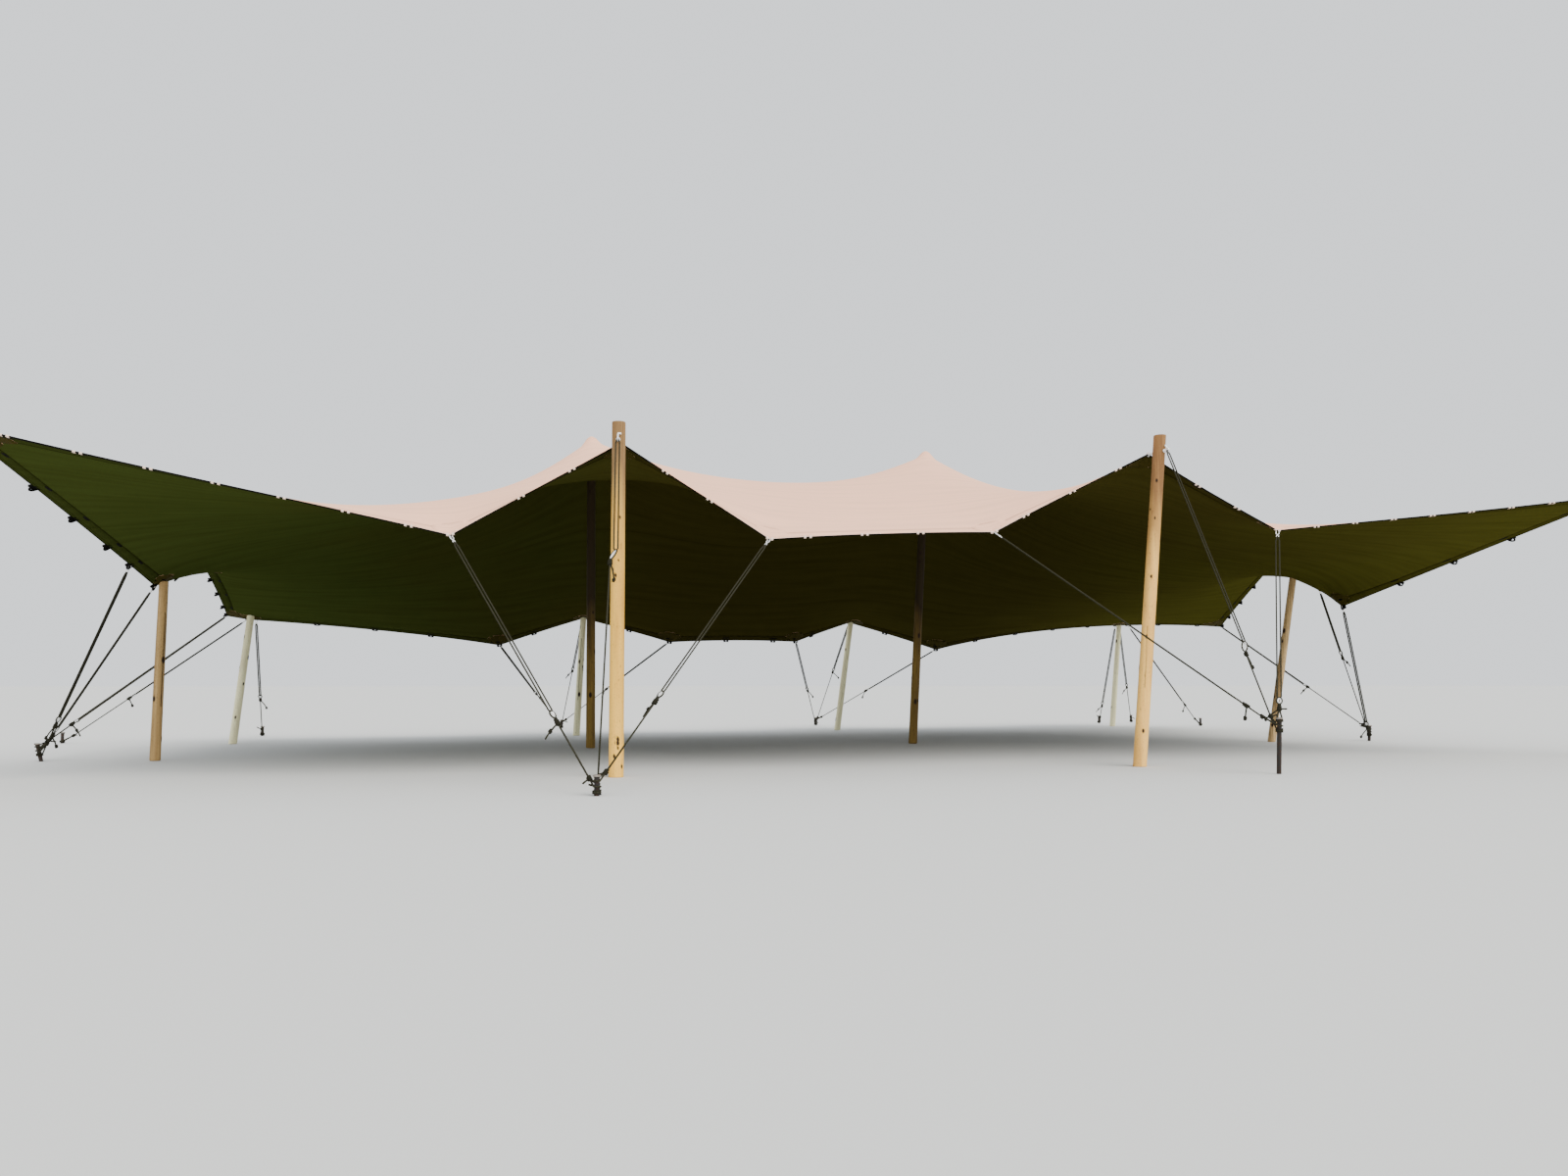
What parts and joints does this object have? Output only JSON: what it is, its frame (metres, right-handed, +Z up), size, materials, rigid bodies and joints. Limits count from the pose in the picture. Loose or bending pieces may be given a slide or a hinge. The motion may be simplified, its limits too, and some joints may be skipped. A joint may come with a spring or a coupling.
{
  "type": "stretch tent",
  "caption": "Freeform stretch canopy on round timber poles, with a raised open front and rope guys down to ground stakes.",
  "frame": {"origin": "centre of the ground area that the guys cover, at ground level", "axes": "+Z up, -Y out of the raised open front, +X to the right as seen from the front"},
  "size_m": [18.684, 13.184, 3.905],
  "materials": {
    "canopy_fabric": "woven stretch cloth, warm sand above, brown in the shade below, matt",
    "peeled_timber": "peeled round softwood, pale ochre, with knots and drying cracks",
    "guy_rope": "braided black rope",
    "galvanised_steel": "dull galvanised steel, a little scuffed"
  },
  "bodies": {
    "root": {"back_pole_inner_left": "peeled_timber", "back_pole_inner_right": "peeled_timber", "back_pole_left": "peeled_timber", "back_pole_right": "peeled_timber", "canopy": "canopy_fabric", "front_pole_corner_left": "peeled_timber", "front_pole_corner_right": "peeled_timber", "front_pole_left": "peeled_timber", "front_pole_right": "peeled_timber", "guy_back_e": "guy_rope", "guy_back_f": "guy_rope", "guy_back_g": "guy_rope", "guy_back_h": "guy_rope", "guy_back_left": "guy_rope", "guy_back_left_outer": "guy_rope", "guy_back_pole_left": "guy_rope", "guy_back_pole_right": "guy_rope", "guy_back_right": "guy_rope", "guy_back_right_outer": "guy_rope", "guy_corner_back_left": "guy_rope", "guy_corner_back_right": "guy_rope", "guy_corner_left": "guy_rope", "guy_corner_right": "guy_rope", "guy_end_right": "guy_rope", "guy_front_a": "guy_rope", "guy_front_b": "guy_rope", "guy_front_c": "guy_rope", "guy_front_d": "guy_rope", "guy_front_pole_left": "guy_rope", "guy_front_pole_right": "guy_rope", "guy_side_left": "guy_rope", "guy_side_left_front": "guy_rope", "guy_side_right": "guy_rope", "guy_side_right_rear": "guy_rope", "peak_pole_left": "peeled_timber", "peak_pole_right": "peeled_timber", "side_pole_left": "peeled_timber", "side_pole_right": "peeled_timber", "stake_back_corner_left": "galvanised_steel", "stake_back_corner_right": "galvanised_steel", "stake_back_inner_left": "galvanised_steel", "stake_back_inner_right": "galvanised_steel", "stake_back_left": "galvanised_steel", "stake_back_right": "galvanised_steel", "stake_end_right": "galvanised_steel", "stake_front_corner_left": "galvanised_steel", "stake_front_corner_right": "galvanised_steel", "stake_front_left": "galvanised_steel", "stake_front_right": "galvanised_steel", "stake_side_left": "galvanised_steel", "stake_side_right": "galvanised_steel"}
  },
  "joints": []
}
